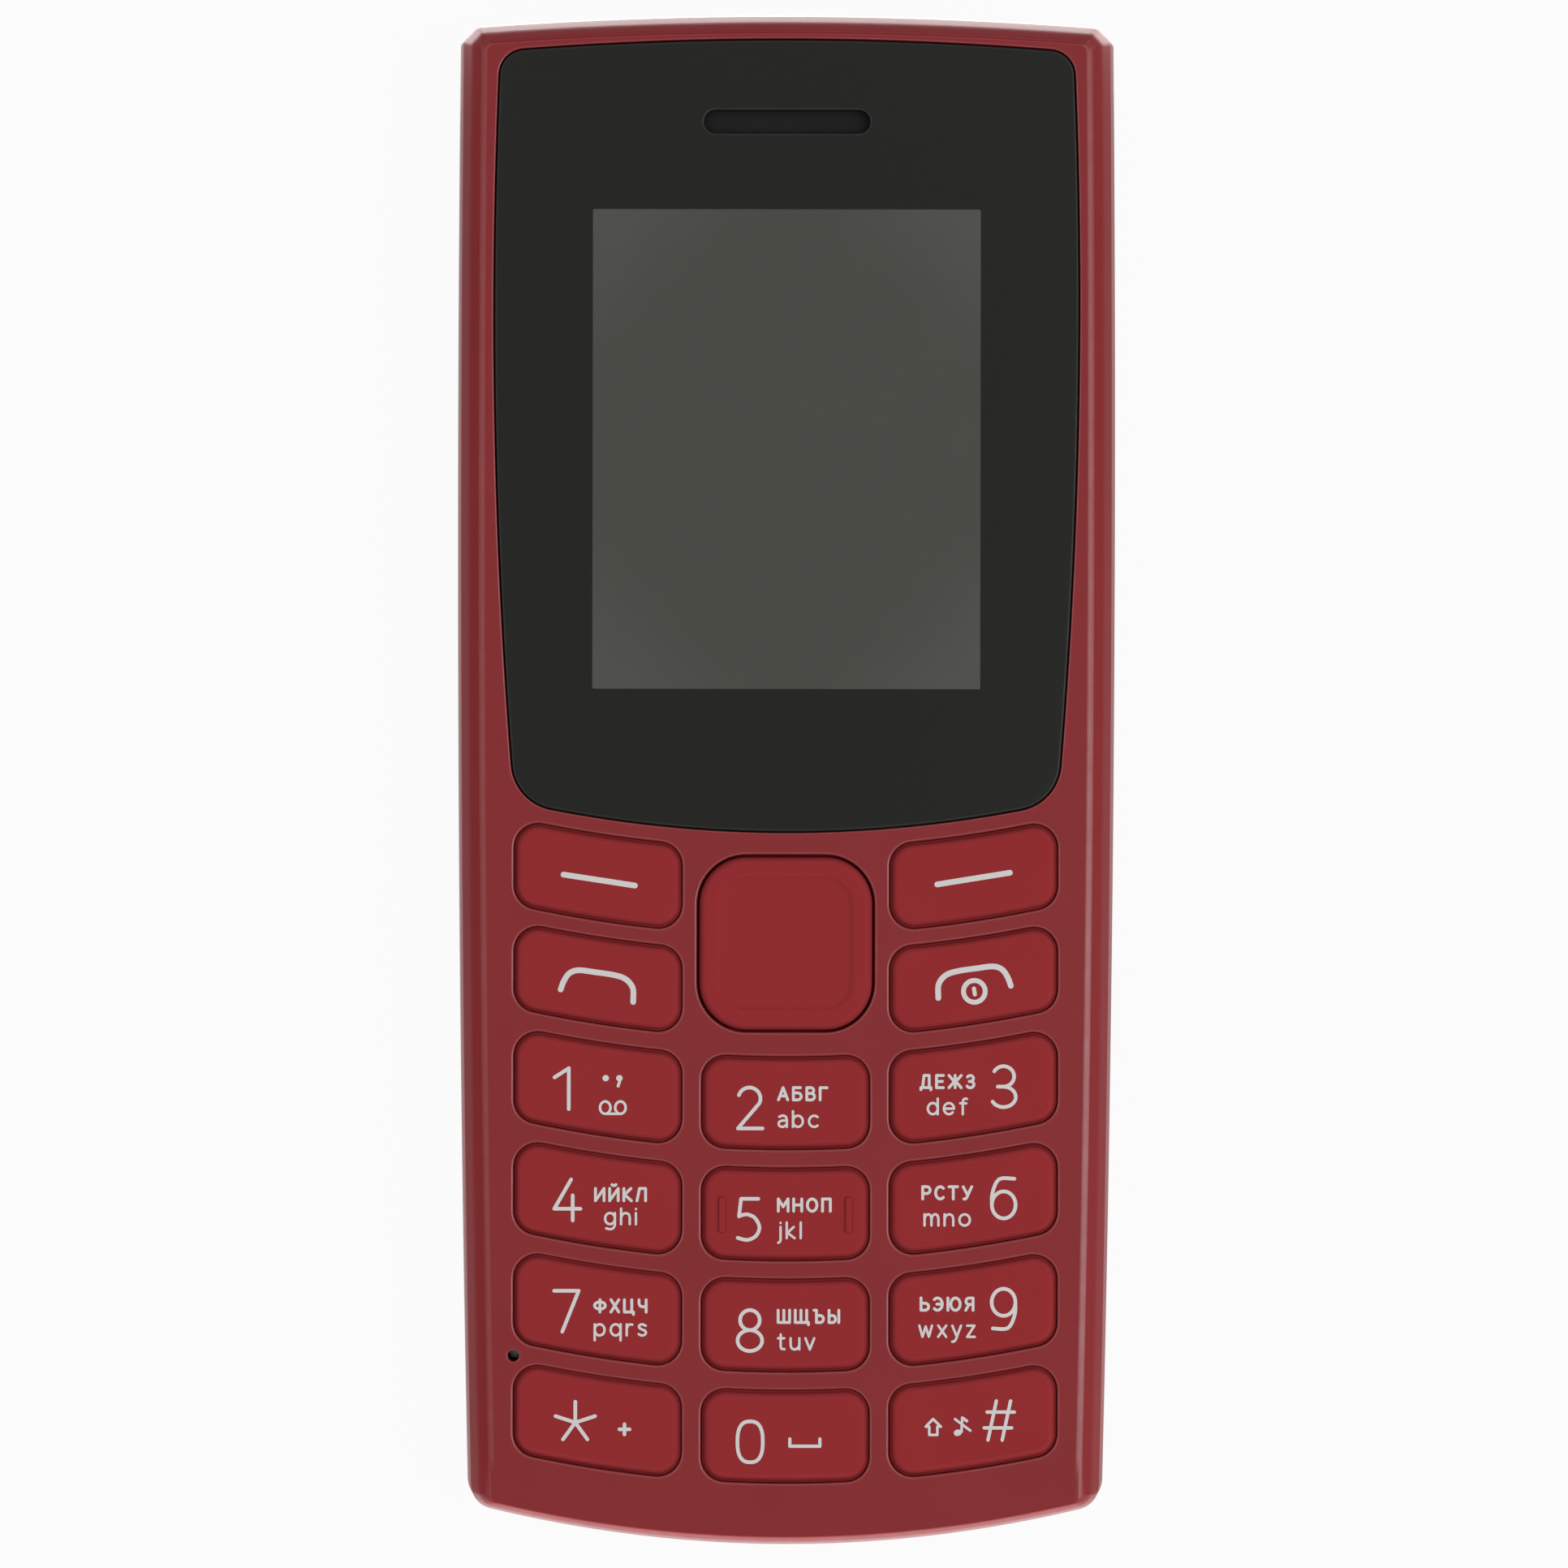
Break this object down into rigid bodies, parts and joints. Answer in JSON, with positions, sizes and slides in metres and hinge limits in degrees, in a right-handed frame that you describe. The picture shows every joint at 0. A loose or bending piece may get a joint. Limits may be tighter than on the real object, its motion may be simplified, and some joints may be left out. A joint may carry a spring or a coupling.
{
  "type": "feature phone",
  "caption": "Bar-shaped feature phone with a number keypad, a square navigation key, a smoked display window and a lift-off rear cover over a battery.",
  "frame": {"origin": "under the middle of the body, on the plane of the back", "axes": "+Z out of the front face, +Y towards the phone's top, +X to the right seen from the front"},
  "size_m": [0.0496, 0.115, 0.0145],
  "materials": {
    "housing_red": "fine satin texture",
    "key_red": "soft matte",
    "smoked_window": "smoked gloss",
    "display_glass": "grey display",
    "inner_plastic": "moulded",
    "black_plastic": "moulded",
    "white_plastic": "moulded",
    "clear_plastic": "clear",
    "foam": "foam",
    "silicone": "silicone",
    "board": "solder mask",
    "steel": "stamped",
    "gold": "plated",
    "film": "film",
    "battery_wrap": "label wrap"
  },
  "bodies": {
    "rear_cover": {"rear_cover": "housing_red"},
    "phone_body": {"front_housing": "housing_red", "display_window": "smoked_window", "window_tape": "foam", "earpiece_mesh": "steel", "rear_housing": "inner_plastic", "housing_screws": "steel", "main_board": "board", "lcd_frame": "white_plastic", "lcd_glass": "display_glass", "lcd_gasket": "foam", "lcd_flex": "gold", "keymat": "silicone", "dome_sheet": "film", "key_domes": "steel", "keypad_lights": "white_plastic", "earpiece": "steel", "earpiece_boot": "foam", "loudspeaker": "black_plastic", "loudspeaker_gasket": "foam", "microphone": "steel", "microphone_boot": "foam", "vibration_motor": "steel", "shield_can": "steel", "sim_holders": "steel", "battery_connector": "black_plastic", "battery_springs": "gold", "micro_usb_socket": "steel", "usb_tongue": "black_plastic", "headset_jack": "black_plastic", "torch_led": "white_plastic", "torch_lens": "clear_plastic", "antenna": "gold"},
    "battery": {"battery": "battery_wrap", "battery_terminals": "gold"},
    "nav_plunger": {"nav_plunger": "silicone"},
    "nav_plate": {"nav_plate": "steel"},
    "nav_key": {"nav_key": "key_red"},
    "key_soft_left": {"key_soft_left": "key_red"},
    "key_soft_right": {"key_soft_right": "key_red"},
    "key_call": {"key_call": "key_red"},
    "key_end": {"key_end": "key_red"},
    "key_1": {"key_1": "key_red"},
    "key_2": {"key_2": "key_red"},
    "key_3": {"key_3": "key_red"},
    "key_4": {"key_4": "key_red"},
    "key_5": {"key_5": "key_red"},
    "key_6": {"key_6": "key_red"},
    "key_7": {"key_7": "key_red"},
    "key_8": {"key_8": "key_red"},
    "key_9": {"key_9": "key_red"},
    "key_star": {"key_star": "key_red"},
    "key_0": {"key_0": "key_red"},
    "key_hash": {"key_hash": "key_red"}
  },
  "joints": [
    {"name": "cover_release", "type": "slide", "parent": "rear_cover", "child": "phone_body", "axis": [0, 0, 1], "range_m": [0, 0.03]},
    {"name": "battery_release", "type": "slide", "parent": "phone_body", "child": "battery", "axis": [0, 0, -1], "range_m": [0, 0.015]},
    {"name": "nav_press", "type": "slide", "parent": "phone_body", "child": "nav_plunger", "axis": [0, 0, -1], "range_m": [0, 0.0003], "stiffness_N_per_m": 1500, "springref_m": -0.0003},
    {"name": "nav_tilt_up_down", "type": "hinge", "parent": "nav_plunger", "child": "nav_plate", "pos_m": [0, -0.0123, 0.01078], "axis": [1, 0, 0], "range_deg": [-2, 2], "stiffness_Nm_per_rad": 0.05},
    {"name": "nav_tilt_left_right", "type": "hinge", "parent": "nav_plate", "child": "nav_key", "pos_m": [0, -0.0123, 0.01148], "axis": [0, 1, 0], "range_deg": [-2, 2], "stiffness_Nm_per_rad": 0.05},
    {"name": "press_soft_left", "type": "slide", "parent": "phone_body", "child": "key_soft_left", "axis": [0, 0, -1], "range_m": [0, 0.0003], "stiffness_N_per_m": 1500, "springref_m": -0.0003},
    {"name": "press_soft_right", "type": "slide", "parent": "phone_body", "child": "key_soft_right", "axis": [0, 0, -1], "range_m": [0, 0.0003], "stiffness_N_per_m": 1500, "springref_m": -0.0003},
    {"name": "press_call", "type": "slide", "parent": "phone_body", "child": "key_call", "axis": [0, 0, -1], "range_m": [0, 0.0003], "stiffness_N_per_m": 1500, "springref_m": -0.0003},
    {"name": "press_end", "type": "slide", "parent": "phone_body", "child": "key_end", "axis": [0, 0, -1], "range_m": [0, 0.0003], "stiffness_N_per_m": 1500, "springref_m": -0.0003},
    {"name": "press_1", "type": "slide", "parent": "phone_body", "child": "key_1", "axis": [0, 0, -1], "range_m": [0, 0.0003], "stiffness_N_per_m": 1500, "springref_m": -0.0003},
    {"name": "press_2", "type": "slide", "parent": "phone_body", "child": "key_2", "axis": [0, 0, -1], "range_m": [0, 0.0003], "stiffness_N_per_m": 1500, "springref_m": -0.0003},
    {"name": "press_3", "type": "slide", "parent": "phone_body", "child": "key_3", "axis": [0, 0, -1], "range_m": [0, 0.0003], "stiffness_N_per_m": 1500, "springref_m": -0.0003},
    {"name": "press_4", "type": "slide", "parent": "phone_body", "child": "key_4", "axis": [0, 0, -1], "range_m": [0, 0.0003], "stiffness_N_per_m": 1500, "springref_m": -0.0003},
    {"name": "press_5", "type": "slide", "parent": "phone_body", "child": "key_5", "axis": [0, 0, -1], "range_m": [0, 0.0003], "stiffness_N_per_m": 1500, "springref_m": -0.0003},
    {"name": "press_6", "type": "slide", "parent": "phone_body", "child": "key_6", "axis": [0, 0, -1], "range_m": [0, 0.0003], "stiffness_N_per_m": 1500, "springref_m": -0.0003},
    {"name": "press_7", "type": "slide", "parent": "phone_body", "child": "key_7", "axis": [0, 0, -1], "range_m": [0, 0.0003], "stiffness_N_per_m": 1500, "springref_m": -0.0003},
    {"name": "press_8", "type": "slide", "parent": "phone_body", "child": "key_8", "axis": [0, 0, -1], "range_m": [0, 0.0003], "stiffness_N_per_m": 1500, "springref_m": -0.0003},
    {"name": "press_9", "type": "slide", "parent": "phone_body", "child": "key_9", "axis": [0, 0, -1], "range_m": [0, 0.0003], "stiffness_N_per_m": 1500, "springref_m": -0.0003},
    {"name": "press_star", "type": "slide", "parent": "phone_body", "child": "key_star", "axis": [0, 0, -1], "range_m": [0, 0.0003], "stiffness_N_per_m": 1500, "springref_m": -0.0003},
    {"name": "press_0", "type": "slide", "parent": "phone_body", "child": "key_0", "axis": [0, 0, -1], "range_m": [0, 0.0003], "stiffness_N_per_m": 1500, "springref_m": -0.0003},
    {"name": "press_hash", "type": "slide", "parent": "phone_body", "child": "key_hash", "axis": [0, 0, -1], "range_m": [0, 0.0003], "stiffness_N_per_m": 1500, "springref_m": -0.0003}
  ],
  "couplings": [
    {"joint": "battery_release", "follows": "cover_release", "ratio": 0.5}
  ]
}
